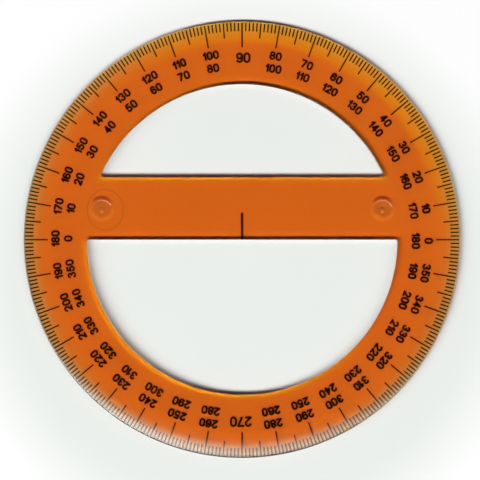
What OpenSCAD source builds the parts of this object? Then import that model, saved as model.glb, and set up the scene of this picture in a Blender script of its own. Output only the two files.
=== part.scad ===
// Full circle protractor: one clear orange moulding, a flat ring with a bevelled
// rim and a crossbar, with the degree scale as ink-filled grooves in its underside.
// Millimetres. The origin is the reading centre, on the underside. +X points to
// 0 degrees, +Y to 90 degrees and +Z out of the face that is read.

/* [Ring] */
// Outside diameter of the disc
outer_d = 100; // [90:1:150]
// Width of the ring from its window wall to the rim
ring_w = 14.4; // [13:0.1:17]
// Thickness of the flat of the ring and the crossbar
body_t = 2.0; // [1.6:0.1:3]
// Radius on the upper edge of every window wall
edge_r = 0.25; // [0.15:0.05:0.5]

/* [Rim bevel] */
// Width of the domed bevel that leads down to the rim
bevel_w = 4.55; // [3.5:0.05:6]
// Thickness of the disc at the rim
rim_t = 1.2; // [0.9:0.05:1.5]
// Slope of the bevel where it leaves the flat face, seen as a faint crease
crease_angle = 6; // [2:0.5:8]
// Radius on the upper edge of the rim
rim_r = 0.3; // [0.15:0.05:0.5]

/* [Crossbar] */
// Width of the crossbar, measured up from the base line
bar_w = 14.25; // [10:0.25:18]
// Radius in the four corners of the two windows
corner_r = 0.6; // [0.3:0.1:2]

/* [Gate marks] */
// Diameter of the round recess at each moulding gate
gate_d = 4.9; // [3:0.1:6]
// Depth of the recess
gate_depth = 0.35; // [0.2:0.05:0.8]
// Distance from the end of the crossbar to the middle of the recess
gate_inset = 2.75; // [2:0.25:8]
// Diameter of the gate stub left in the recess
stub_d = 1.2; // [0.8:0.1:2]
// Height of the gate stub above the floor of the recess
stub_h = 0.2; // [0.1:0.05:0.3]

/* [Scale] */
// Depth of the scale grooves, and so of their ink
ink_t = 0.1; // [0.05:0.01:0.2]
// Plain border between the rim and the outer end of the marks
mark_border = 0.4; // [0.2:0.05:0.8]
// Width of the marks for each degree
mark_w = 0.32; // [0.2:0.02:0.4]
// Width of the marks at 90 and 270 degrees
right_angle_w = 0.36; // [0.3:0.02:0.6]
// Length of the marks for single degrees
one_len = 1.9; // [1.5:0.1:2.4]
// Length of the marks for every fifth degree
five_len = 3.4; // [2.8:0.1:3.8]
// Length of the marks for every tenth degree
ten_len = 5.1; // [4.2:0.1:5.3]
// Length of the marks at 90 and 270 degrees
right_angle_len = 5.5; // [5.3:0.1:6.5]

/* [Index line] */
// Length of the line that marks the reading centre
index_len = 6.2; // [4:0.1:9]
// Width of that line
index_w = 0.56; // [0.3:0.02:0.8]

/* [Hidden] */
$fn = 180;

// Radii and heights that follow from the driving sizes
outer_r = outer_d / 2;
inner_r = outer_r - ring_w;
bevel_start = outer_r - bevel_w;
mark_end = outer_r - mark_border;

// Rounds are set this far off dead tangent, so that they cross the face they meet
web_lap = 0.012;
rim_lap = 0.002;

// The bevel is one arc: its chord slopes by the drop over the width, and an arc
// turns as much on one side of its chord as on the other.
bevel_drop = body_t - rim_t;
chord_angle = atan(bevel_drop / bevel_w);
rim_angle = 2 * chord_angle - crease_angle;
bevel_r = bevel_w / (sin(rim_angle) - sin(crease_angle));
bevel_x = bevel_start - bevel_r * sin(crease_angle);
bevel_z = body_t - bevel_r * cos(crease_angle);

// Centre of the rim's round, which meets the outer wall and the bevel
round_x = outer_r - rim_r;
round_z = bevel_z + sqrt(pow(bevel_r - rim_r, 2) - pow(round_x - bevel_x, 2)) + rim_lap;

// The gates sit in the ends of the crossbar, half way up it
gate_y = bar_w / 2;
gate_x = sqrt(inner_r * inner_r - gate_y * gate_y) - gate_inset;

ORANGE = [0.83, 0.40, 0.10, 0.8];
INK = [0.12, 0.03, 0.02];

// Square corner less its round, to be cut from the upper edge of a wall.
// The wall is at x = 0 with its solid towards +x.
module edge_round() {
    difference() {
        translate([-1, body_t - edge_r]) square([1 + edge_r, edge_r + 1]);
        translate([edge_r, body_t - edge_r]) circle(r = edge_r);
    }
}

// What is cut from the corner between the bevel and the outer wall to round it
module rim_round() {
    translate([round_x, round_z]) difference() {
        polygon([[0, 0], [rim_r + 1, 0], [rim_r + 1, rim_r + 1],
                 [(rim_r + 1) * sin(rim_angle), (rim_r + 1) * cos(rim_angle)]]);
        circle(r = rim_r);
    }
}

// Half section of the ring, from the window wall to the rim
module ring_section() {
    difference() {
        union() {
            translate([inner_r, 0]) square([ring_w - bevel_w, body_t]);
            intersection() {
                translate([bevel_start, 0]) square([bevel_w, body_t]);
                translate([bevel_x, bevel_z]) circle(r = bevel_r);
            }
        }
        translate([inner_r, 0]) edge_round();
        rim_round();
    }
}

// Section of the crossbar, both of its upper edges rounded
module bar_section() {
    difference() {
        square([bar_w, body_t]);
        edge_round();
        translate([bar_w, 0]) mirror([1, 0]) edge_round();
    }
}

// Crossbar, run into the ring at both ends so that the two are one moulding
module crossbar() {
    half = inner_r + 2 * edge_r;
    translate([-half, 0, 0]) rotate([90, 0, 90]) linear_extrude(2 * half) bar_section();
}

// Tool that leaves a rounded inside corner with a rounded upper edge
module corner_tool() {
    rotate_extrude() {
        translate([0, -1]) square([corner_r, body_t + 2]);
        translate([corner_r, 0]) difference() {
            translate([-corner_r, body_t - edge_r]) square([corner_r + edge_r, edge_r + 1]);
            translate([edge_r, body_t - edge_r]) circle(r = edge_r);
        }
    }
}

// Web that rounds the corner at +x between the window wall of the ring and the
// crossbar's edge at line_y. The window is on the side that way points to.
module corner_web(line_y, way) {
    cy = line_y + way * corner_r;
    cx = sqrt(pow(inner_r - corner_r, 2) - cy * cy) + web_lap;
    corner_x = sqrt(inner_r * inner_r - line_y * line_y);
    reach = (inner_r + 2 * edge_r) / (inner_r - corner_r);
    difference() {
        linear_extrude(body_t) polygon([
            [cx, cy],
            [cx, line_y - way * 2 * edge_r],
            [corner_x + 2 * edge_r, line_y - way * 2 * edge_r],
            [cx * reach, cy * reach]
        ]);
        translate([cx, cy, 0]) corner_tool();
    }
}

// Round recess around a moulding gate, with the tapered stub of the gate left in it
module gate_mark() {
    floor_z = body_t - gate_depth;
    difference() {
        translate([0, 0, floor_z]) cylinder(d = gate_d, h = gate_depth + 1);
        translate([0, 0, floor_z]) cylinder(d1 = stub_d, d2 = 0.7 * stub_d, h = stub_h);
    }
}

// Marks of one length and width at the given angles, flat on the underside
module marks(angles, length, width) {
    linear_extrude(ink_t) for (a = angles)
        rotate(a) translate([mark_end - length, -width / 2]) square([length, width]);
}

right_angles = [90, 270];
ten_angles = [for (a = [0:10:350]) if (a % 180 != 90) a];
five_angles = [for (a = [5:10:355]) a];
one_angles = [for (a = [0:359]) if (a % 5 != 0) a];

module one_degree_fill() { marks(one_angles, one_len, mark_w); }
module five_degree_fill() { marks(five_angles, five_len, mark_w); }
module ten_degree_fill() { marks(ten_angles, ten_len, mark_w); }
module right_angle_fill() { marks(right_angles, right_angle_len, right_angle_w); }

// Index line, standing on the base line at the reading centre
module index_fill() {
    linear_extrude(ink_t) translate([-index_w / 2, 0]) square([index_w, index_len]);
}

module body() {
    color(ORANGE) difference() {
        union() {
            rotate_extrude() ring_section();
            crossbar();
            for (side = [0, 1]) mirror([side, 0, 0]) {
                corner_web(0, -1);
                corner_web(bar_w, 1);
            }
        }
        for (side = [-1, 1]) translate([side * gate_x, gate_y, 0]) gate_mark();
        one_degree_fill();
        five_degree_fill();
        ten_degree_fill();
        right_angle_fill();
        index_fill();
    }
}

module one_degree_marks() { color(INK) one_degree_fill(); }
module five_degree_marks() { color(INK) five_degree_fill(); }
module ten_degree_marks() { color(INK) ten_degree_fill(); }
module right_angle_marks() { color(INK) right_angle_fill(); }
module centre_index_line() { color(INK) index_fill(); }

body();
one_degree_marks();
five_degree_marks();
ten_degree_marks();
right_angle_marks();
centre_index_line();
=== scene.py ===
"""Looks of the full circle protractor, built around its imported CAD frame.

All lengths are metres, in the frame of the CAD model: the origin is the reading
centre on the underside, +X points to 0 degrees, +Y to 90 degrees and +Z out of the
face that is read.
"""

import logging
import math
from collections.abc import Callable, Iterator, Sequence
from contextlib import contextmanager
from dataclasses import dataclass
from enum import Enum

import bmesh
import bpy
from mathutils import Matrix, Vector


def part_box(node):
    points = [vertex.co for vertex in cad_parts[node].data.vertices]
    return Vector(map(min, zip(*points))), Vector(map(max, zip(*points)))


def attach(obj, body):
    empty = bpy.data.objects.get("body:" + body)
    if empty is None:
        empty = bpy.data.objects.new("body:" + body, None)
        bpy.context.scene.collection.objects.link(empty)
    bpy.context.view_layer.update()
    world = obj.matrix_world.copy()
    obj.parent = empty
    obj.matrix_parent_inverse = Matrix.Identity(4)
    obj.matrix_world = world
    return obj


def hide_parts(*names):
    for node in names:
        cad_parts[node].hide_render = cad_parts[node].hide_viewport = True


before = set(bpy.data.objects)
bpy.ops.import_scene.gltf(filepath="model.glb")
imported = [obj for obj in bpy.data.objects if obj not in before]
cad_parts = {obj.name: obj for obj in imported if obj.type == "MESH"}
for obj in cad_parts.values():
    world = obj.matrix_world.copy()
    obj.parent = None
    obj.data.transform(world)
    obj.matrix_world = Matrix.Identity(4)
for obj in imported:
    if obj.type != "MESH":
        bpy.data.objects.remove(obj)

LOG = logging.getLogger("protractor")
MM = 0.001
BODY = "root"
SIDES = (-1, 1)
DOT_SIDES = 14
# Least normal.z of a face that counts as level, and how near counts as touching
LEVEL = 0.99
NEAR = 0.002 * MM

Point = tuple[float, float]
Colour = tuple[float, float, float]
Place = tuple[float, float, float]
Glyph = tuple[list[Point], ...]
Socket = bpy.types.NodeSocket


class Finish(Enum):
    """Material slots of the record."""

    CLEAR_ORANGE = "clear_orange_plastic"
    SCALE_INK = "scale_ink"


class Window(Enum):
    """The two windows, each with the side of its straight edge that it lies on."""

    UPPER = 1
    LOWER = -1


class NumberRow(Enum):
    """Rows of numbers, each with the name of its piece."""

    OUTER = "outer_numbers"
    INNER = "inner_numbers"
    RIGHT_ANGLE = "right_angle_numbers"


def arc(centre: Point, radius: float, start: float, end: float, steps: int,
        flat: float = 1.0) -> list[Point]:
    """Points along an arc.

    Args:
        centre: Middle of the circle.
        radius: Its radius along x.
        start: First angle in degrees.
        end: Last angle in degrees.
        steps: Number of equal steps between them.
        flat: Radius along y as a share of the radius along x.

    Returns:
        The points, both ends among them.
    """
    angles = [math.radians(start + (end - start) * i / steps) for i in range(steps + 1)]
    return [(centre[0] + radius * math.cos(a), centre[1] + flat * radius * math.sin(a))
            for a in angles]


def deselect_all() -> None:
    """Leaves object mode with nothing selected."""
    if bpy.context.object and bpy.context.object.mode != "OBJECT":
        bpy.ops.object.mode_set(mode="OBJECT")
    bpy.ops.object.select_all(action="DESELECT")


def make_active(piece: bpy.types.Object) -> None:
    """Selects one object alone and makes it the active one.

    Args:
        piece: The object.
    """
    deselect_all()
    piece.select_set(True)
    bpy.context.view_layer.objects.active = piece


@contextmanager
def editing(piece: bpy.types.Object) -> Iterator[bpy.types.Mesh]:
    """Edit mode on one object, with nothing selected at first.

    Args:
        piece: The mesh object to edit.

    Yields:
        Its mesh.
    """
    make_active(piece)
    bpy.ops.object.mode_set(mode="EDIT")
    bpy.ops.mesh.select_mode(type="FACE")
    bpy.ops.mesh.select_all(action="DESELECT")
    yield piece.data
    bpy.ops.object.mode_set(mode="OBJECT")


def select_faces(mesh: bpy.types.Mesh, wanted: Callable[[bmesh.types.BMFace], bool]) -> None:
    """Selects the faces that pass a test, in edit mode.

    Args:
        mesh: Mesh that is being edited.
        wanted: Test of a face.
    """
    bpy.ops.mesh.select_mode(type="FACE")
    bpy.ops.mesh.select_all(action="DESELECT")
    data = bmesh.from_edit_mesh(mesh)
    for face in data.faces:
        face.select_set(wanted(face))
    data.select_flush(True)
    bmesh.update_edit_mesh(mesh)


def select_edges(mesh: bpy.types.Mesh, wanted: Callable[[bmesh.types.BMEdge], bool]) -> int:
    """Selects the edges that pass a test, in edit mode.

    Args:
        mesh: Mesh that is being edited.
        wanted: Test of an edge.

    Returns:
        How many edges passed.
    """
    bpy.ops.mesh.select_mode(type="EDGE")
    bpy.ops.mesh.select_all(action="DESELECT")
    data = bmesh.from_edit_mesh(mesh)
    data.normal_update()
    found = [e for e in data.edges if wanted(e)]
    for edge in found:
        edge.select_set(True)
    bmesh.update_edit_mesh(mesh)
    return len(found)


def middle(edge: bmesh.types.BMEdge) -> Vector:
    """Middle of an edge, seen from above."""
    return ((edge.verts[0].co + edge.verts[1].co) / 2).xy


def is_corner(edge: bmesh.types.BMEdge, height: float, up: float) -> bool:
    """Whether an edge is where a level face meets an upright wall.

    Args:
        edge: The edge.
        height: Height that both of its ends have.
        up: 1 if the level face looks up, -1 if it looks down.

    Returns:
        True for such an edge.
    """
    if len(edge.link_faces) != 2 or any(abs(v.co.z - height) > NEAR for v in edge.verts):
        return False
    slopes = sorted(f.normal.z * up for f in edge.link_faces)
    return abs(slopes[0]) < 0.5 and slopes[1] > LEVEL


def cut(piece: bpy.types.Object, cutter: bpy.types.Object) -> None:
    """Cuts one solid out of another and removes the cutter.

    Args:
        piece: Solid that is cut.
        cutter: Solid that is taken away.
    """
    make_active(piece)
    bpy.ops.object.modifier_add(type="BOOLEAN")
    modifier = piece.modifiers[-1]
    modifier.operation = "DIFFERENCE"
    modifier.solver = "EXACT"
    modifier.object = cutter
    bpy.ops.object.modifier_apply(modifier=modifier.name)
    bpy.data.objects.remove(cutter)


def apply_place(piece: bpy.types.Object) -> None:
    """Moves an object's place, turn and scale into its mesh."""
    make_active(piece)
    bpy.ops.object.transform_apply(location=True, rotation=True, scale=True)


def new_material(name: str) -> tuple[bpy.types.Material, bpy.types.NodeTree, bpy.types.Node]:
    """A material with its node tree and its Principled BSDF.

    Args:
        name: Name of the material.

    Returns:
        The material, its nodes and its Principled BSDF.
    """
    material = bpy.data.materials.new(name)
    material.use_nodes = True
    tree = material.node_tree
    return material, tree, tree.nodes["Principled BSDF"]


def add_spline(curve: bpy.types.Curve, places: Sequence[Place], closed: bool = False) -> None:
    """Adds straight lines from place to place to a curve.

    Args:
        curve: Curve to add to.
        places: The points.
        closed: Whether the last point is joined to the first.
    """
    spline = curve.splines.new("POLY")
    spline.points.add(len(places) - 1)
    for point, place in zip(spline.points, places):
        point.co = (*place, 1)
    spline.use_cyclic_u = closed


def add_object(curve: bpy.types.Curve) -> bpy.types.Object:
    """Puts a curve into the scene, as an object of the same name.

    Args:
        curve: The curve.

    Returns:
        The object.
    """
    thing = bpy.data.objects.new(curve.name, curve)
    bpy.context.collection.objects.link(thing)
    return thing


def place_group(tree: bpy.types.NodeTree, group: bpy.types.NodeTree,
                **values: float) -> bpy.types.Node:
    """Puts a node group into a material.

    Args:
        tree: Nodes of the material.
        group: Group to place.
        **values: Inputs to set, by name with _ for a space.

    Returns:
        The group's node.
    """
    node = tree.nodes.new("ShaderNodeGroup")
    node.node_tree = group
    for name, value in values.items():
        node.inputs[name.replace("_", " ").capitalize()].default_value = value
    return node


def group_sockets(group: bpy.types.NodeTree, inputs: Sequence[str],
                  outputs: Sequence[tuple[str, str]]) -> None:
    """Gives a node group its sockets.

    Args:
        group: The node group.
        inputs: Names of its number inputs.
        outputs: Name and socket type of each output.
    """
    for name in inputs:
        group.interface.new_socket(name, in_out="INPUT", socket_type="NodeSocketFloat")
    for name, kind in outputs:
        group.interface.new_socket(name, in_out="OUTPUT", socket_type=kind)


def feed(tree: bpy.types.NodeTree, socket: Socket, value: Socket | float | Sequence[float]
         ) -> None:
    """Links an output to an input, or sets the input to a plain value.

    Args:
        tree: Nodes that the sockets belong to.
        socket: The input.
        value: The output, or the plain value.
    """
    if isinstance(value, Socket):
        tree.links.new(value, socket)
    else:
        socket.default_value = value


def ramp(tree: bpy.types.NodeTree, source: Socket, low: float, high: float) -> Socket:
    """Smooth step from 0 at one value of a socket to 1 at another.

    Args:
        tree: Nodes to add to.
        source: Output with the value.
        low: Value that gives 0.
        high: Value that gives 1, above or below the other.

    Returns:
        Output of the step.
    """
    node = tree.nodes.new("ShaderNodeMapRange")
    node.interpolation_type = "SMOOTHSTEP"
    node.inputs["From Min"].default_value = low
    node.inputs["From Max"].default_value = high
    feed(tree, node.inputs["Value"], source)
    return node.outputs["Result"]


def join(tree: bpy.types.NodeTree, operation: str, first: Socket,
         second: Socket | float = 0.0) -> Socket:
    """A calculation with one or two values.

    Args:
        tree: Nodes to add to.
        operation: Name of the math node's operation.
        first: Output with the first value.
        second: Output with the second value, or a plain number.

    Returns:
        Output with the result.
    """
    node = tree.nodes.new("ShaderNodeMath")
    node.operation = operation
    feed(tree, node.inputs[0], first)
    feed(tree, node.inputs[1], second)
    return node.outputs[0]


def mix(tree: bpy.types.NodeTree, share: Socket | float, first: Socket | Colour,
        second: Socket | Colour, blend: str = "MIX") -> Socket:
    """A mix of two colours.

    Args:
        tree: Nodes to add to.
        share: Share of the second colour.
        first: First colour.
        second: Second colour.
        blend: How the second is laid over the first.

    Returns:
        Output with the colour.
    """
    node = tree.nodes.new("ShaderNodeMix")
    node.data_type = "RGBA"
    node.blend_type = blend
    feed(tree, node.inputs["Factor"], share)
    for name, colour in (("A", first), ("B", second)):
        feed(tree, node.inputs[name], (*colour, 1) if isinstance(colour, tuple) else colour)
    return node.outputs["Result"]


def noise(tree: bpy.types.NodeTree, place: Socket, scale: Socket | float,
          detail: float = 2.0) -> Socket:
    """Cloudy noise.

    Args:
        tree: Nodes to add to.
        place: Output with the coordinates.
        scale: How fine it is.
        detail: How many finer layers it has.

    Returns:
        Output with the noise.
    """
    node = tree.nodes.new("ShaderNodeTexNoise")
    node.inputs["Detail"].default_value = detail
    feed(tree, node.inputs["Vector"], place)
    feed(tree, node.inputs["Scale"], scale)
    return node.outputs["Fac"]


def distance(tree: bpy.types.NodeTree, place: Socket, location: Place = (0.0, 0.0, 0.0),
             scale: Place = (1.0, 1.0, 1.0)) -> Socket:
    """Distance from the origin after coordinates are scaled and then moved.

    Args:
        tree: Nodes to add to.
        place: Output with the coordinates.
        location: How far they are moved.
        scale: How they are scaled first.

    Returns:
        Output with the distance.
    """
    mapping = tree.nodes.new("ShaderNodeMapping")
    mapping.inputs["Location"].default_value = location
    mapping.inputs["Scale"].default_value = scale
    feed(tree, mapping.inputs["Vector"], place)
    reach = tree.nodes.new("ShaderNodeVectorMath")
    reach.operation = "LENGTH"
    feed(tree, reach.inputs[0], mapping.outputs["Vector"])
    return reach.outputs["Value"]


def component(tree: bpy.types.NodeTree, vector: Socket, axis: str) -> Socket:
    """One component of a vector.

    Args:
        tree: Nodes to add to.
        vector: Output with the vector.
        axis: X, Y or Z.

    Returns:
        Output with the component.
    """
    split = tree.nodes.new("ShaderNodeSeparateXYZ")
    feed(tree, split.inputs["Vector"], vector)
    return split.outputs[axis]


@dataclass(frozen=True)
class HandlingWear:
    """Marks that handling leaves: two sets of hairline scratches, and haze."""

    scratches: tuple[Point, ...] = ((24.0, 22.0), (-58.0, 16.0))
    ridge: Point = (0.66, 0.72)
    cloud_scale: float = 90.0
    cloud_detail: float = 4.0

    def build(self) -> bpy.types.NodeTree:
        """Builds the wear as a node group.

        Returns:
            The group, with inputs Scale and Amount, and outputs Height and Haze.
        """
        group = bpy.data.node_groups.new("handling_wear", "ShaderNodeTree")
        group_sockets(group, ["Scale", "Amount"],
                      [("Height", "NodeSocketFloat"), ("Haze", "NodeSocketFloat")])
        start = group.nodes.new("NodeGroupInput")
        end = group.nodes.new("NodeGroupOutput")
        place = group.nodes.new("ShaderNodeTexCoord").outputs["Object"]

        sets = []
        for turn, stretch in self.scratches:
            mapping = group.nodes.new("ShaderNodeMapping")
            mapping.inputs["Rotation"].default_value = (0, 0, math.radians(turn))
            mapping.inputs["Scale"].default_value = (1.0, stretch, 1.0)
            feed(group, mapping.inputs["Vector"], place)
            lines = noise(group, mapping.outputs["Vector"], start.outputs["Scale"])
            sets.append(ramp(group, lines, *self.ridge))
        cloud = noise(group, place, self.cloud_scale, self.cloud_detail)
        for name, value in (("Height", join(group, "MAXIMUM", *sets)), ("Haze", cloud)):
            feed(group, end.inputs[name], join(group, "MULTIPLY", value, start.outputs["Amount"]))
        return group


@dataclass(frozen=True)
class ClearOrangePlastic:
    """Clear orange plastic, tinted through its whole thickness, with painted light and shade in
    its surface colour.

    Where a pair of values bounds a soft step, the first is where it begins and the
    second where it is full.
    """

    refraction: float = 1.46
    roughness: Point = (0.01, 0.05)
    rough_haze: Point = (0.35, 0.75)
    rim_rough: Point = (49.8 * MM, 49.95 * MM)
    rim_roughness: float = 0.5
    tint: Colour = (0.976, 0.724, 0.15)
    tint_per_metre: float = 700.0
    flat_colour: Colour = (0.941, 0.586, 0.392)
    rim_colour: Colour = (1.0, 1.0, 1.0)
    haze_colour: Colour = (0.985, 0.975, 0.96)
    paler: Point = (45.6 * MM, 51.0 * MM)
    paler_place: Place = (0.0, 0.3 * MM, 0.0)
    # Painted light: amber bands along the walls that face away from the lamp
    band_colour: Colour = (0.69, 0.63, 0.45)
    band_w: float = 0.8 * MM
    band_way: Place = (-0.45, -0.9, 0.0)
    band_facing: Point = (0.0, 0.8)
    band_below: Point = (0.5 * MM, -1.0 * MM)
    band_inside: Point = (36.6 * MM, 35.1 * MM)
    # Painted yellow light on the bevel's side away from the lamp, and in wide bands along the
    # walls
    yellow_colour: Colour = (0.99, 0.84, 0.22)
    yellow_w: float = 1.5 * MM
    dome: Point = (44.6 * MM, 46.0 * MM)
    dome_facing: Point = (-0.3, -0.9)
    dome_share: float = 0.5
    window_r: float = 35.6 * MM
    bar_w: float = 14.25 * MM
    gate_x: float = 32.13 * MM
    # Painted shade on the gate floors and stubs; the insert's outline is a real line whose
    # darkness is painted shade
    gate_colour: Colour = (0.74, 0.80, 1.0)
    gate_floor: Point = (2.05 * MM, 1.45 * MM)
    gate_floor_share: float = 0.24
    gate_dot: Point = (0.6 * MM, 0.15 * MM)
    gate_dot_share: float = 0.9
    insert_place: Place = (35.1 * MM, -6.85 * MM, 0.0)
    insert_scale: Place = (1.12, 1.0, 0.0)
    insert_r: float = 4.66 * MM
    insert_line: Point = (0.3 * MM, 0.08 * MM)
    insert_share: float = 0.4
    # Painted shadow on the part of a ring above each gate, and painted light on the part below it
    flow_colour: Colour = (0.78, 0.6, 0.8)
    flow_r: float = 2.65 * MM
    flow_w: Point = (0.5 * MM, 0.1 * MM)
    flow_dark: Point = (0.45, 0.97)
    flow_pale: Point = (0.35, -0.35)
    # Painted light: a highlight on the lamp's side of each stub, and on the lower side of the
    # ring round each gate
    pale_colour: Colour = (1.0, 0.9, 0.7)
    pale_share: float = 0.4
    speck_drop: float = 0.65 * MM
    speck: Point = (0.6 * MM, 0.2 * MM)
    scratch_scale: float = 60.0
    scratch_depth: float = 0.001 * MM

    def facing(self, tree: bpy.types.NodeTree, place: Socket) -> Socket:
        """How far a place's direction from the centre agrees with the lamp's.

        Args:
            tree: Nodes of the material.
            place: Output with the object coordinates.

        Returns:
            Output that is about 1 straight towards the lamp and -1 straight away from it.
        """
        unit = tree.nodes.new("ShaderNodeVectorMath")
        unit.operation = "NORMALIZE"
        feed(tree, unit.inputs[0], place)
        along = tree.nodes.new("ShaderNodeVectorMath")
        along.operation = "DOT_PRODUCT"
        along.inputs[1].default_value = self.band_way
        feed(tree, along.inputs[0], unit.outputs["Vector"])
        return along.outputs["Value"]

    def wall_bands(self, tree: bpy.types.NodeTree, place: Socket, width: float) -> Socket:
        """Painted light in bands along the walls that light reaches through the plastic.

        Args:
            tree: Nodes of the material.
            place: Output with the object coordinates.
            width: Distance from the wall at which a band fades out.

        Returns:
            Output that is 1 at such a wall and 0 away from it.
        """
        radius = distance(tree, place)
        height = component(tree, place, "Y")
        away = join(tree, "ABSOLUTE", join(tree, "SUBTRACT", radius, self.window_r))
        ring = join(tree, "MULTIPLY", ramp(tree, away, width, 0.1 * width),
                    ramp(tree, self.facing(tree, place), *self.band_facing))
        ring = join(tree, "MULTIPLY", ring, ramp(tree, height, *self.band_below))
        near_edge = ramp(tree, height, self.bar_w - width, self.bar_w - 0.1 * width)
        bar = join(tree, "MULTIPLY", near_edge, ramp(tree, radius, *self.band_inside))
        return join(tree, "MAXIMUM", ring, bar)

    def yellow(self, tree: bpy.types.NodeTree, place: Socket) -> Socket:
        """Share of painted yellow light: on the bevel's side away from the lamp, and in wide
        bands along walls.

        Args:
            tree: Nodes of the material.
            place: Output with the object coordinates.

        Returns:
            Output with the share.
        """
        dome = join(tree, "MULTIPLY", ramp(tree, distance(tree, place), *self.dome),
                    ramp(tree, self.facing(tree, place), *self.dome_facing))
        dome = join(tree, "MULTIPLY", dome, self.dome_share)
        return join(tree, "MAXIMUM", dome, self.wall_bands(tree, place, self.yellow_w))

    def from_gate(self, tree: bpy.types.NodeTree, place: Socket, side: int,
                  drop: float = 0.0) -> Socket:
        """Distance seen from above to a gate's middle, or to a place below that.

        Args:
            tree: Nodes of the material.
            place: Output with the object coordinates.
            side: Gate at the left (-1) or right (1) end of the bar.
            drop: How far the place is below the gate's middle.

        Returns:
            Output with the distance.
        """
        shift = (-side * self.gate_x, drop - self.bar_w / 2, 0.0)
        return distance(tree, place, shift, (1.0, 1.0, 0.0))

    def flow_band(self, tree: bpy.types.NodeTree, place: Socket, side: int,
                  sines: Point) -> Socket:
        """Part of a ring round a gate, for painted shadow above the gate and painted light below
        it.

        Args:
            tree: Nodes of the material.
            place: Output with the object coordinates.
            side: Gate at the left (-1) or right (1) end of the bar.
            sines: Sines of the directions where the band begins and from where it is full.

        Returns:
            Output that is 1 in that part and 0 elsewhere.
        """
        away = self.from_gate(tree, place, side)
        rise = join(tree, "SUBTRACT", component(tree, place, "Y"), self.bar_w / 2)
        off = join(tree, "ABSOLUTE", join(tree, "SUBTRACT", away, self.flow_r))
        return join(tree, "MULTIPLY", ramp(tree, off, *self.flow_w),
                    ramp(tree, join(tree, "DIVIDE", rise, away), *sines))

    def flow_marks(self, tree: bpy.types.NodeTree, place: Socket) -> Socket:
        """Share of the dark tint above the gates: painted shadow that the recess walls throw."""
        bands = [self.flow_band(tree, place, side, self.flow_dark) for side in SIDES]
        return join(tree, "MAXIMUM", *bands)

    def pale_marks(self, tree: bpy.types.NodeTree, place: Socket) -> Socket:
        """Share of the pale tint: a painted highlight on the lamp's side of each gate stub, and
        painted light on the lower side of a ring round each gate.

        Args:
            tree: Nodes of the material.
            place: Output with the object coordinates.

        Returns:
            Output with the share.
        """
        share = 0.0
        for side in SIDES:
            low = self.from_gate(tree, place, side, self.speck_drop)
            ring = self.flow_band(tree, place, side, self.flow_pale)
            for mask in (ramp(tree, low, *self.speck),
                         join(tree, "MULTIPLY", ring, self.pale_share)):
                share = join(tree, "MAXIMUM", mask, share)
        return share

    def gate_shade(self, tree: bpy.types.NodeTree, place: Socket) -> Socket:
        """Share of the darker tint: painted shade on the gate floors and stubs, and the insert's
        outline, a real line whose darkness is painted shade.

        Args:
            tree: Nodes of the material.
            place: Output with the object coordinates.

        Returns:
            Output with the share.
        """
        line = distance(tree, place, self.insert_place, self.insert_scale)
        line = join(tree, "ABSOLUTE", join(tree, "SUBTRACT", line, self.insert_r))
        shade = join(tree, "MULTIPLY", ramp(tree, line, *self.insert_line), self.insert_share)
        for side in SIDES:
            away = self.from_gate(tree, place, side)
            for span, share in ((self.gate_floor, self.gate_floor_share),
                                (self.gate_dot, self.gate_dot_share)):
                mask = join(tree, "MULTIPLY", ramp(tree, away, *span), share)
                shade = join(tree, "MAXIMUM", shade, mask)
        return shade

    def colour(self, tree: bpy.types.NodeTree, place: Socket, haze: Socket) -> Socket:
        """Tint of the surface, laid over that of the volume, with painted light and shade mixed
        in.

        Args:
            tree: Nodes of the material.
            place: Output with the object coordinates.
            haze: Output with the haze that handling left.

        Returns:
            Output with the colour.
        """
        paler = ramp(tree, distance(tree, place, self.paler_place), *self.paler)
        colour = mix(tree, paler, self.flat_colour, self.rim_colour)
        bands = self.wall_bands(tree, place, self.band_w)
        for share, tint, blend in (
                (self.yellow(tree, place), self.yellow_colour, "MIX"),
                (bands, self.band_colour, "MIX"),
                (self.gate_shade(tree, place), self.gate_colour, "MULTIPLY"),
                (self.flow_marks(tree, place), self.flow_colour, "MULTIPLY"),
                (self.pale_marks(tree, place), self.pale_colour, "MIX"),
                (haze, self.haze_colour, "MULTIPLY")):
            colour = mix(tree, share, colour, tint, blend)
        return colour

    def build(self, wear: bpy.types.NodeTree) -> bpy.types.Material:
        """The finish of the moulding.

        Args:
            wear: Node group of handling marks.

        Returns:
            The material.
        """
        material, tree, shader = new_material(Finish.CLEAR_ORANGE.value)
        nodes, links = tree.nodes, tree.links
        shader.inputs["Transmission Weight"].default_value = 1.0
        shader.inputs["IOR"].default_value = self.refraction
        marks = place_group(tree, wear, scale=self.scratch_scale, amount=1.0)
        place = nodes.new("ShaderNodeTexCoord").outputs["Object"]
        links.new(self.colour(tree, place, marks.outputs["Haze"]), shader.inputs["Base Color"])

        rough = nodes.new("ShaderNodeMapRange")
        limits = ("From Min", "From Max", "To Min", "To Max")
        for name, value in zip(limits, (*self.rough_haze, *self.roughness)):
            rough.inputs[name].default_value = value
        links.new(marks.outputs["Haze"], rough.inputs["Value"])
        rim = join(tree, "MULTIPLY", ramp(tree, distance(tree, place), *self.rim_rough),
                   self.rim_roughness)
        links.new(join(tree, "MAXIMUM", rough.outputs["Result"], rim), shader.inputs["Roughness"])

        bump = nodes.new("ShaderNodeBump")
        bump.invert = True
        bump.inputs["Distance"].default_value = self.scratch_depth
        links.new(marks.outputs["Height"], bump.inputs["Height"])
        links.new(bump.outputs["Normal"], shader.inputs["Normal"])

        absorb = nodes.new("ShaderNodeVolumeAbsorption")
        absorb.inputs["Color"].default_value = (*self.tint, 1)
        absorb.inputs["Density"].default_value = self.tint_per_metre
        links.new(absorb.outputs["Volume"], nodes["Material Output"].inputs["Volume"])
        return material


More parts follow.
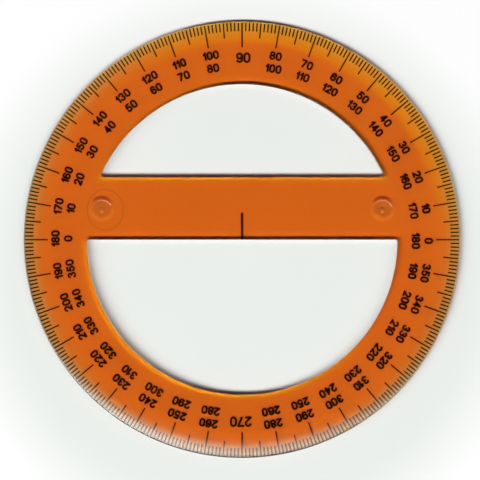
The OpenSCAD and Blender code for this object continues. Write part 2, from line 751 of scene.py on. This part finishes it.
@dataclass(frozen=True)
class ScaleInk:
    """Dull red-black ink of the marks and numbers."""

    dark: Colour = (0.012, 0.0006, 0.0006)
    worn: Colour = (0.020, 0.0016, 0.0014)
    roughness: float = 0.62
    grain_scale: float = 2600.0
    grain_detail: float = 3.0
    grain_depth: float = 0.004 * MM

    def build(self) -> bpy.types.Material:
        """The finish of the ink.

        Returns:
            The material.
        """
        material, tree, shader = new_material(Finish.SCALE_INK.value)
        place = tree.nodes.new("ShaderNodeTexCoord").outputs["Object"]
        grain = noise(tree, place, self.grain_scale, self.grain_detail)
        tree.links.new(mix(tree, grain, self.dark, self.worn), shader.inputs["Base Color"])
        shader.inputs["Roughness"].default_value = self.roughness
        bump = tree.nodes.new("ShaderNodeBump")
        bump.inputs["Distance"].default_value = self.grain_depth
        tree.links.new(grain, bump.inputs["Height"])
        tree.links.new(bump.outputs["Normal"], shader.inputs["Normal"])
        return material


@dataclass
class Moulding:
    """The clear orange body: ring, domed bevel, crossbar and gate marks."""

    outer_r: float
    thickness: float
    underside: float = 0.01 * MM
    sides: int = 720
    inner_r: float = 35.6 * MM
    edge_r: float = 0.25 * MM
    foot_r: float = 0.05 * MM
    bevel_w: float = 4.55 * MM
    rim_t: float = 1.2 * MM
    crease: float = math.radians(6)
    rim_r: float = 0.3 * MM
    bar_w: float = 14.25 * MM
    corner_r: float = 0.6 * MM
    gate_r: float = 2.45 * MM
    gate_floor_r: float = 1.74 * MM
    gate_fillet_r: float = 0.98 * MM
    fillet_steps: int = 12
    gate_draft: float = 0.02 * MM
    gate_above: float = 0.03 * MM
    gate_sides: int = 144
    gate_depth: float = 0.35 * MM
    gate_inset: float = 2.75 * MM
    stub_d: float = 1.5 * MM
    stub_top_d: float = 0.9 * MM
    stub_h: float = 0.22 * MM
    stub_sunk: float = 0.1 * MM
    stub_inset: float = 0.18 * MM
    stub_tear: float = 0.08 * MM
    smooth_angle: float = math.radians(40)

    def profile(self) -> list[Point]:
        """Half section of the rim and the bevel.

        Returns:
            Radius and height of each point, from the top of the rim's wall to the crease.
        """
        chord = math.atan2(self.thickness - self.rim_t, self.bevel_w)
        at_rim = 2 * chord - self.crease
        bevel_r = self.bevel_w / (math.sin(at_rim) - math.sin(self.crease))
        start = self.outer_r - self.bevel_w
        bevel_x = start - bevel_r * math.sin(self.crease)
        bevel_z = self.thickness - bevel_r * math.cos(self.crease)
        round_x = self.outer_r - self.rim_r
        round_z = bevel_z + math.sqrt((bevel_r - self.rim_r) ** 2 - (round_x - bevel_x) ** 2)
        meet = math.degrees(math.atan2(round_z - bevel_z, round_x - bevel_x))
        rim = arc((round_x, round_z), self.rim_r, 0, meet, 6)
        dome = arc((bevel_x, bevel_z), bevel_r, meet, 90 - math.degrees(self.crease), 18)
        return rim + dome[1:]

    def disc(self) -> bpy.types.Object:
        """The whole disc with its rim and bevel, before the windows are cut.

        Returns:
            The disc, as a closed solid.
        """
        profile = self.profile()
        radius, wall_top = profile[0]
        deselect_all()
        bpy.ops.mesh.primitive_cylinder_add(
            vertices=self.sides, radius=radius, depth=wall_top - self.underside,
            location=(0, 0, (wall_top + self.underside) / 2))
        disc = bpy.context.object
        apply_place(disc)
        with editing(disc) as mesh:
            select_faces(mesh, lambda f: f.normal.z > LEVEL)
            for (r, z), (next_r, next_z) in zip(profile, profile[1:]):
                bpy.ops.mesh.inset(thickness=r - next_r, depth=next_z - z)
        return disc

    def window_outline(self, window: Window) -> list[Point]:
        """Outline of a window: two round corners and the ring's wall between them.

        Args:
            window: Which window.

        Returns:
            Its points. The straight edge closes the outline.
        """
        way = window.value
        line_y = self.bar_w if window is Window.UPPER else 0.0
        cy = line_y + way * self.corner_r
        cx = math.sqrt((self.inner_r - self.corner_r) ** 2 - cy ** 2)
        meet = math.degrees(math.atan2(cy, cx))
        ring_steps = round(abs(180 * way - 2 * meet) * 2)
        return (arc((cx, cy), self.corner_r, -90 * way, meet, 16)[:-1]
                + arc((0, 0), self.inner_r, meet, 180 * way - meet, ring_steps)[:-1]
                + arc((-cx, cy), self.corner_r, 180 * way - meet, 270 * way, 16))

    def window_cutter(self, window: Window) -> bpy.types.Object:
        """A prism through the disc with a window's outline.

        Args:
            window: Which window.

        Returns:
            The prism, which cuts the window.
        """
        outline = self.window_outline(window)
        curve = bpy.data.curves.new(f"{window.name.lower()}_window", "CURVE")
        curve.dimensions = "2D"
        curve.fill_mode = "BOTH"
        curve.extrude = 2 * self.thickness
        add_spline(curve, [(x, y, 0) for x, y in outline], closed=True)
        cutter = add_object(curve)
        make_active(cutter)
        bpy.ops.object.convert(target="MESH")
        with editing(cutter):
            bpy.ops.mesh.select_all(action="SELECT")
            bpy.ops.mesh.remove_doubles(threshold=0.001 * MM)
            bpy.ops.mesh.normals_make_consistent(inside=False)
        return cutter

    def gate_place(self, side: int) -> Point:
        """Middle of the gate mark at the left (-1) or right (1) end of the bar."""
        y = self.bar_w / 2
        return side * (math.sqrt(self.inner_r ** 2 - y ** 2) - self.gate_inset), y

    def gate_stub(self, side: int) -> bpy.types.Object:
        """The torn stub of a gate: a low cone with an uneven top.

        Args:
            side: Gate at the left (-1) or right (1) end of the bar.

        Returns:
            The stub, sunk a little below the floor of the recess.
        """
        floor = self.thickness - self.gate_depth
        deselect_all()
        bpy.ops.mesh.primitive_cone_add(
            vertices=12, radius1=self.stub_d / 2, radius2=self.stub_top_d / 2,
            depth=self.stub_h + self.stub_sunk,
            location=(*self.gate_place(side), floor + (self.stub_h - self.stub_sunk) / 2))
        stub = bpy.context.object
        apply_place(stub)
        with editing(stub) as mesh:
            select_faces(mesh, lambda f: f.normal.z > LEVEL)
            bpy.ops.mesh.inset(thickness=self.stub_inset)
            bpy.ops.mesh.poke()
            bpy.ops.transform.vertex_random(offset=self.stub_tear, uniform=0.6, seed=4 + side)
        return stub

    def gate_cutter(self, side: int) -> bpy.types.Object:
        """A round plug that cuts a gate's recess, with its fillet, and leaves its stub.

        Args:
            side: Gate at the left (-1) or right (1) end of the bar.

        Returns:
            The plug.
        """
        floor, fillet = self.thickness - self.gate_depth, self.gate_fillet_r
        steepest = math.asin((self.gate_r - self.gate_draft - self.gate_floor_r) / fillet)
        slopes = [steepest * i / self.fillet_steps for i in range(self.fillet_steps, -1, -1)]
        wall = [(self.gate_floor_r + fillet * math.sin(a), floor + fillet * (1 - math.cos(a)))
                for a in slopes]
        lean = self.gate_draft / (self.thickness - wall[0][1])
        brim = self.gate_r + lean * self.gate_above
        wall.insert(0, (brim, self.thickness + self.gate_above))
        deselect_all()
        bpy.ops.mesh.primitive_cylinder_add(
            vertices=self.gate_sides, radius=brim, depth=self.gate_depth,
            location=(*self.gate_place(side), wall[0][1] + self.gate_depth / 2))
        cutter = bpy.context.object
        apply_place(cutter)
        with editing(cutter) as mesh:
            select_faces(mesh, lambda f: f.normal.z < -LEVEL)
            for (r, z), (next_r, next_z) in zip(wall, wall[1:]):
                bpy.ops.mesh.inset(thickness=r - next_r, depth=z - next_z)
        cut(cutter, self.gate_stub(side))
        return cutter

    def near_gate(self, edge: bmesh.types.BMEdge, reach: float) -> bool:
        """Whether an edge is near a gate.

        Args:
            edge: The edge.
            reach: Largest distance from the gate's middle, in radii of the recess.

        Returns:
            True if its middle is that near to either gate.
        """
        return any((middle(edge) - Vector(self.gate_place(side))).length < reach * self.gate_r
                   for side in SIDES)

    def is_window_edge(self, edge: bmesh.types.BMEdge) -> bool:
        """Whether an edge is on the outline of a window."""
        inside = middle(edge).length < self.inner_r + 0.05 * MM
        return inside and not self.near_gate(edge, 1.4)

    def is_brim(self, edge: bmesh.types.BMEdge) -> bool:
        """Whether an edge is where a gate's recess leaves the level face.

        Args:
            edge: The edge.

        Returns:
            True for such an edge.
        """
        level = all(abs(v.co.z - self.thickness) < NEAR / 2 for v in edge.verts)
        slopes = sorted(f.normal.z for f in edge.link_faces)
        return self.near_gate(edge, 1.2) and level and slopes[0] < 0.9999 < slopes[-1]

    def is_crease(self, edge: bmesh.types.BMEdge) -> bool:
        """Whether an edge is where the bevel leaves the level face.

        Args:
            edge: The edge.

        Returns:
            True for such an edge.
        """
        crease_r = self.outer_r - self.bevel_w
        return all(abs(v.co.z - self.thickness) < NEAR
                   and abs(v.co.xy.length - crease_r) < 10 * NEAR for v in edge.verts)

    def round_edges(self, piece: bpy.types.Object) -> None:
        """Rounds the edges of the windows and of the underside.

        Args:
            piece: The body, with its windows and gate marks cut.
        """
        with editing(piece) as mesh:
            rounds = (
                ("window", lambda e: is_corner(e, self.thickness, 1) and self.is_window_edge(e),
                 self.edge_r, 6),
                ("foot", lambda e: is_corner(e, self.underside, -1), self.foot_r, 2),
            )
            for name, wanted, radius, segments in rounds:
                count = select_edges(mesh, wanted)
                LOG.info("rounding %d %s edges", count, name)
                bpy.ops.mesh.bevel(offset=radius, offset_type="OFFSET", segments=segments,
                                   profile=0.5, affect="EDGES", clamp_overlap=False)

    def shade(self, piece: bpy.types.Object) -> None:
        """Smooth shading that stays flat on flat faces and keeps crease and brims.

        Args:
            piece: The body, with its edges rounded.
        """
        make_active(piece)
        bpy.ops.object.shade_smooth_by_angle(angle=self.smooth_angle)
        with editing(piece) as mesh:
            for is_sharp in (self.is_crease, self.is_brim):
                select_edges(mesh, is_sharp)
                bpy.ops.mesh.mark_sharp()
        make_active(piece)
        bpy.ops.object.modifier_add(type="WEIGHTED_NORMAL")
        modifier = piece.modifiers[-1]
        modifier.keep_sharp = True
        bpy.ops.object.modifier_apply(modifier=modifier.name)

    def build(self, plastic: bpy.types.Material) -> bpy.types.Object:
        """Builds and dresses the body.

        Args:
            plastic: Its material.

        Returns:
            The finished piece, which stands for the CAD body.
        """
        piece = self.disc()
        for window in Window:
            cut(piece, self.window_cutter(window))
        for side in SIDES:
            cut(piece, self.gate_cutter(side))
        self.round_edges(piece)
        self.shade(piece)
        piece.name = piece.data.name = "clear_body"
        piece.data.materials.clear()
        piece.data.materials.append(plastic)
        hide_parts("body")
        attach(piece, BODY)
        return piece


@dataclass
class Numbers:
    """The numbers of the scale, as strokes of ink with round ends.

    Each numeral is drawn on a field 0.6 wide and 1 high, between the middles of its
    strokes, and the field is scaled to the numeral's height less one stroke.
    """

    ink_t: float
    height: float = 2.0 * MM
    tall_height: float = 2.4 * MM
    stroke: float = 0.45 * MM
    tall_stroke: float = 0.47 * MM
    gap: float = 0.07 * MM
    outer_r: float = 42.76 * MM
    inner_r: float = 39.83 * MM
    right_angle_r: float = 41.7 * MM
    shift: float = 0.27 * MM
    steps: int = 10

    def glyphs(self) -> dict[str, Glyph]:
        """Middle lines of the numerals 0 to 9.

        Returns:
            For each numeral, one list of points for each of its strokes.
        """
        n = self.steps
        six = (arc((0.3, 0.7), 0.3, 28, 180, n) + arc((0.3, 0.3), 0.3, 180, 540, 2 * n))
        return {
            "0": (arc((0.3, 0.7), 0.3, 0, 180, n) + arc((0.3, 0.3), 0.3, 180, 360, n)
                  + [(0.6, 0.7)],),
            "1": ([(0.24, 0), (0.24, 1)], [(0.24, 0.98), (0.0, 0.70)]),
            "2": (arc((0.3, 0.7), 0.3, 165, -45, n) + [(0.03, 0.01)], [(0, 0), (0.6, 0)]),
            "3": (arc((0.28, 0.76), 0.26, 165, -90, n, 0.923)
                  + arc((0.28, 0.26), 0.31, 90, -160, n, 0.839),),
            "4": ([(0.42, 0), (0.42, 1)], [(0.42, 1), (0, 0.3)], [(0, 0.3), (0.6, 0.3)]),
            "5": ([(0.56, 1), (0.12, 1)], [(0.12, 1), (0.06, 0.5)],
                  arc((0.29, 0.31), 0.31, 142, -155, n)),
            "6": (six,),
            "7": ([(0, 1), (0.6, 1)], [(0.6, 1), (0.2, 0)]),
            "8": (arc((0.3, 0.76), 0.26, -90, 270, 2 * n, 0.923),
                  arc((0.3, 0.26), 0.31, -90, 270, 2 * n, 0.839)),
            "9": ([(0.6 - x, 1 - y) for x, y in six],),
        }

    def rows(self) -> dict[NumberRow, list[tuple[int, int]]]:
        """The numbers of each row.

        Returns:
            For each row, the angles and the numbers that stand there.
        """
        angles = [a for a in range(0, 360, 10) if a % 180 != 90]
        return {
            NumberRow.OUTER: [(a, a) for a in angles],
            NumberRow.INNER: [(a, (180 - a) % 360) for a in angles],
            NumberRow.RIGHT_ANGLE: [(90, 90), (270, 270)],
        }

    def width(self, digit: str) -> float:
        """Width of a numeral's field as a share of its height."""
        return 0.24 if digit == "1" else 0.6

    def strokes(self, number: int, height: float, stroke: float) -> list[list[Point]]:
        """Middle lines of a whole number, centred on the origin.

        Args:
            number: The number.
            height: Height of its numerals over their ink.
            stroke: Width of a stroke.

        Returns:
            One list of points for each stroke.
        """
        scale = height - stroke
        glyphs = self.glyphs()
        placed: list[list[Point]] = []
        x = 0.0
        for digit in str(number):
            placed += [[(x + px * scale, (py - 0.5) * scale) for px, py in line]
                       for line in glyphs[digit]]
            x += self.width(digit) * scale + stroke + self.gap
        half = (x - stroke - self.gap) / 2
        return [[(px - half, py) for px, py in line] for line in placed]

    def build_row(self, row: NumberRow, ink: bpy.types.Material) -> bpy.types.Object:
        """Builds and dresses one row of numbers.

        Args:
            row: Which row.
            ink: Its material.

        Returns:
            The finished piece.
        """
        radius, height, stroke = {
            NumberRow.OUTER: (self.outer_r, self.height, self.stroke),
            NumberRow.INNER: (self.inner_r, self.height, self.stroke),
            NumberRow.RIGHT_ANGLE: (self.right_angle_r, self.tall_height, self.tall_stroke),
        }[row]
        lines = []
        for angle, number in self.rows()[row]:
            place = (Matrix.Rotation(math.radians(angle), 4, "Z")
                     @ Matrix.Translation((radius, -self.shift, 0))
                     @ Matrix.Rotation(math.radians(-90), 4, "Z"))
            lines += [[place @ Vector((x, y, 0)) for x, y in line]
                      for line in self.strokes(number, height, stroke)]
        piece = ribbon(row.value, lines, stroke, self.ink_t)
        piece.data.materials.append(ink)
        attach(piece, BODY)
        return piece

    def build(self, ink: bpy.types.Material) -> list[bpy.types.Object]:
        """Builds all rows of numbers."""
        return [self.build_row(row, ink) for row in NumberRow]


def ribbon(name: str, lines: list[list[Vector]], width: float, depth: float) -> bpy.types.Object:
    """Flat strokes with round ends along the given lines, from z = 0 to depth.

    Args:
        name: Name of the piece.
        lines: Points of each stroke's middle line.
        width: Width of the strokes.
        depth: Their height.

    Returns:
        A mesh object.
    """
    section = bpy.data.curves.new("section", "CURVE")
    section.dimensions = "2D"
    corners = ((-1, -1), (1, -1), (1, 1), (-1, 1))
    add_spline(section, [(x * width / 2, y * depth / 2, 0) for x, y in corners], closed=True)
    profile = add_object(section)

    curve = bpy.data.curves.new(name, "CURVE")
    curve.dimensions = "3D"
    curve.twist_mode = "Z_UP"
    curve.bevel_mode = "OBJECT"
    curve.bevel_object = profile
    curve.use_fill_caps = True
    for line in lines:
        add_spline(curve, [(place.x, place.y, depth / 2) for place in line])
    piece = add_object(curve)
    make_active(piece)
    bpy.ops.object.convert(target="MESH")
    bpy.data.objects.remove(profile)

    deselect_all()
    bpy.ops.mesh.primitive_cylinder_add(vertices=DOT_SIDES, radius=width / 2, depth=depth)
    dot = bpy.context.object
    deselect_all()
    for end in [point for line in lines for point in (line[0], line[-1])]:
        copy = dot.copy()
        copy.data = dot.data.copy()
        copy.location = (end.x, end.y, depth / 2)
        bpy.context.collection.objects.link(copy)
        copy.select_set(True)
    bpy.data.objects.remove(dot)
    piece.select_set(True)
    bpy.context.view_layer.objects.active = piece
    bpy.ops.object.join()
    apply_place(piece)
    with editing(piece):
        bpy.ops.mesh.select_all(action="SELECT")
        bpy.ops.mesh.normals_make_consistent(inside=False)
    piece.data.materials.clear()
    return piece


@dataclass
class Marks:
    """The ink of the scale's marks and of the index line, which are CAD nodes."""

    nodes: tuple[str, ...] = ("one_degree_marks", "five_degree_marks", "ten_degree_marks",
                              "right_angle_marks", "centre_index_line")

    def build(self, ink: bpy.types.Material) -> None:
        """Gives the CAD nodes their ink.

        Args:
            ink: The ink's material.
        """
        for name in self.nodes:
            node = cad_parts[name]
            node.data.materials.clear()
            node.data.materials.append(ink)


@dataclass
class Studio:
    """The floor, the light and the camera."""

    floor_size: float = 2.0
    floor_z: float = -0.13 * MM
    floor_rise: float = 0.002
    paper_roughness: float = 0.9
    fibre_scale: float = 40.0
    fibre_share: float = 0.02
    # Painted shade: the paper is darker near the part than far from it
    near_place: Place = (0.0, 8 * MM, 0.0)
    near_to_far: Point = (50 * MM, 72 * MM)
    near_colour: Colour = (0.795, 0.83, 0.80)
    far_colour: Colour = (0.97, 0.975, 0.97)
    sky: float = 0.025
    lamp_height: float = 4.0
    lamp_radiance: float = 1.29
    lamp_along: tuple[Point, ...] = (
        (-2.8, 12.0), (-1.5, 13.0), (-0.9, 13.0), (-0.42, 13.5), (-0.3, 12.0), (-0.2, 10.5),
        (-0.1, 8.3), (0.0, 6.1), (0.1, 5.4), (0.35, 4.6), (0.6, 4.4), (1.0, 3.5), (1.8, 3.0))
    lamp_across: tuple[Point, ...] = (
        (-0.712, 0.0), (-0.642, 0.45), (-0.582, 1.0), (-0.462, 1.0), (-0.402, 0.73),
        (-0.362, 0.56), (-0.332, 0.27), (-0.292, 0.10), (-0.225, 0.0))
    view_width: float = 109.98 * MM
    aim: Point = (-0.47 * MM, -0.057 * MM)
    camera_height: float = 0.5

    def floor(self) -> None:
        """Matt pale sheet that almost touches the rim's far side and slopes down from there, with
        painted shade that darkens it near the part.
        """
        deselect_all()
        bpy.ops.mesh.primitive_plane_add(size=self.floor_size, location=(0, 0, self.floor_z))
        floor = bpy.context.object
        floor.rotation_euler.x = self.floor_rise
        floor.name = "floor"
        material, tree, shader = new_material("floor_paper")
        place = tree.nodes.new("ShaderNodeTexCoord").outputs["Object"]
        # Painted shade: the paper darkens towards the part
        far = ramp(tree, distance(tree, place, self.near_place), *self.near_to_far)
        paper = mix(tree, far, self.near_colour, self.far_colour)
        paper = mix(tree, self.fibre_share, paper, noise(tree, place, self.fibre_scale),
                    "MULTIPLY")
        tree.links.new(paper, shader.inputs["Base Color"])
        shader.inputs["Roughness"].default_value = self.paper_roughness
        shader.inputs["Specular IOR Level"].default_value = 0.0
        floor.data.materials.append(material)

    def world(self) -> None:
        """A dark room, which the camera sees as white."""
        world = bpy.data.worlds.new("studio")
        bpy.context.scene.world = world
        world.use_nodes = True
        tree = world.node_tree
        room = tree.nodes["Background"]
        room.inputs["Color"].default_value = (1, 1, 1, 1)
        room.inputs["Strength"].default_value = self.sky
        seen = tree.nodes.new("ShaderNodeBackground")
        seen.inputs["Color"].default_value = (1, 1, 1, 1)
        path = tree.nodes.new("ShaderNodeLightPath")
        either = tree.nodes.new("ShaderNodeMixShader")
        tree.links.new(path.outputs["Is Camera Ray"], either.inputs["Fac"])
        tree.links.new(room.outputs[0], either.inputs[1])
        tree.links.new(seen.outputs[0], either.inputs[2])
        tree.links.new(either.outputs[0], tree.nodes["World Output"].inputs["Surface"])

    def lamp_profile(self, tree: bpy.types.NodeTree, axis: str,
                     stops: tuple[Point, ...]) -> Socket:
        """Brightness along one axis of the lamp.

        Args:
            tree: Nodes of the lamp.
            axis: X or Y.
            stops: Slopes, which are places over the lamp's height, and brightness there.

        Returns:
            Output with the brightness as a share of the brightest stop.
        """
        place = tree.nodes.new("ShaderNodeNewGeometry").outputs["Position"]
        share = tree.nodes.new("ShaderNodeMapRange")
        low, high = stops[0][0], stops[-1][0]
        share.inputs["From Min"].default_value = low * self.lamp_height
        share.inputs["From Max"].default_value = high * self.lamp_height
        tree.links.new(component(tree, place, axis), share.inputs["Value"])
        shades = tree.nodes.new("ShaderNodeValToRGB")
        tree.links.new(share.outputs["Result"], shades.inputs["Fac"])
        elements = shades.color_ramp.elements
        while len(elements) < len(stops):
            elements.new(0.5)
        top = max(value for _, value in stops)
        for element, (slope, _) in zip(elements, stops):
            element.position = (slope - low) / (high - low)
        for element, (_, value) in zip(elements, stops):
            element.color = (value / top, value / top, value / top, 1)
        return shades.outputs["Color"]

    def lamp(self) -> None:
        """A strip light high up beyond the picture's lower edge, brighter at its left."""
        left, right = self.lamp_along[0][0], self.lamp_along[-1][0]
        front, back = self.lamp_across[0][0], self.lamp_across[-1][0]
        size = ((right - left) * self.lamp_height, (back - front) * self.lamp_height)
        deselect_all()
        bpy.ops.object.light_add(
            type="AREA", location=((left + right) / 2 * self.lamp_height,
                                   (front + back) / 2 * self.lamp_height, self.lamp_height))
        lamp = bpy.context.object
        lamp.name = "strip_light"
        lamp.data.shape = "RECTANGLE"
        lamp.data.size, lamp.data.size_y = size
        brightest = self.lamp_radiance * max(value for _, value in self.lamp_along)
        lamp.data.energy = brightest * math.pi * size[0] * size[1]
        lamp.data.use_nodes = True
        tree = lamp.data.node_tree
        shine = join(tree, "MULTIPLY", self.lamp_profile(tree, "X", self.lamp_along),
                     self.lamp_profile(tree, "Y", self.lamp_across))
        tree.links.new(shine, tree.nodes["Emission"].inputs["Strength"])

    def camera(self) -> None:
        """Orthographic camera straight above, as in the photograph."""
        data = bpy.data.cameras.new("camera")
        data.type = "ORTHO"
        data.ortho_scale = self.view_width
        camera = bpy.data.objects.new("camera", data)
        camera.location = (*self.aim, self.camera_height)
        bpy.context.collection.objects.link(camera)
        bpy.context.scene.camera = camera

    def build(self) -> None:
        """Sets the stage."""
        self.camera()
        self.floor()
        self.world()
        self.lamp()
        scene = bpy.context.scene
        scene.view_settings.view_transform = "Standard"
        scene.cycles.blur_glossy = 0.0


def triangles(piece: bpy.types.Object) -> int:
    """Number of triangles in a piece's mesh."""
    piece.data.calc_loop_triangles()
    return len(piece.data.loop_triangles)


def main() -> None:
    logging.basicConfig(level=logging.INFO, format="%(name)s: %(message)s")
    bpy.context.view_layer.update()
    low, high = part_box("body")
    ink_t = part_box("ten_degree_marks")[1].z

    studio = Studio()
    studio.build()
    plastic = ClearOrangePlastic().build(HandlingWear().build())
    ink = ScaleInk().build()
    outer_r = min(high.x, -low.x, high.y, -low.y)
    pieces = [Moulding(outer_r=outer_r, thickness=high.z).build(plastic)]
    Marks().build(ink)
    pieces += Numbers(ink_t=ink_t).build(ink)
    for piece in pieces:
        LOG.info("%s: %d triangles", piece.name, triangles(piece))


if __name__ == "__main__":
    main()
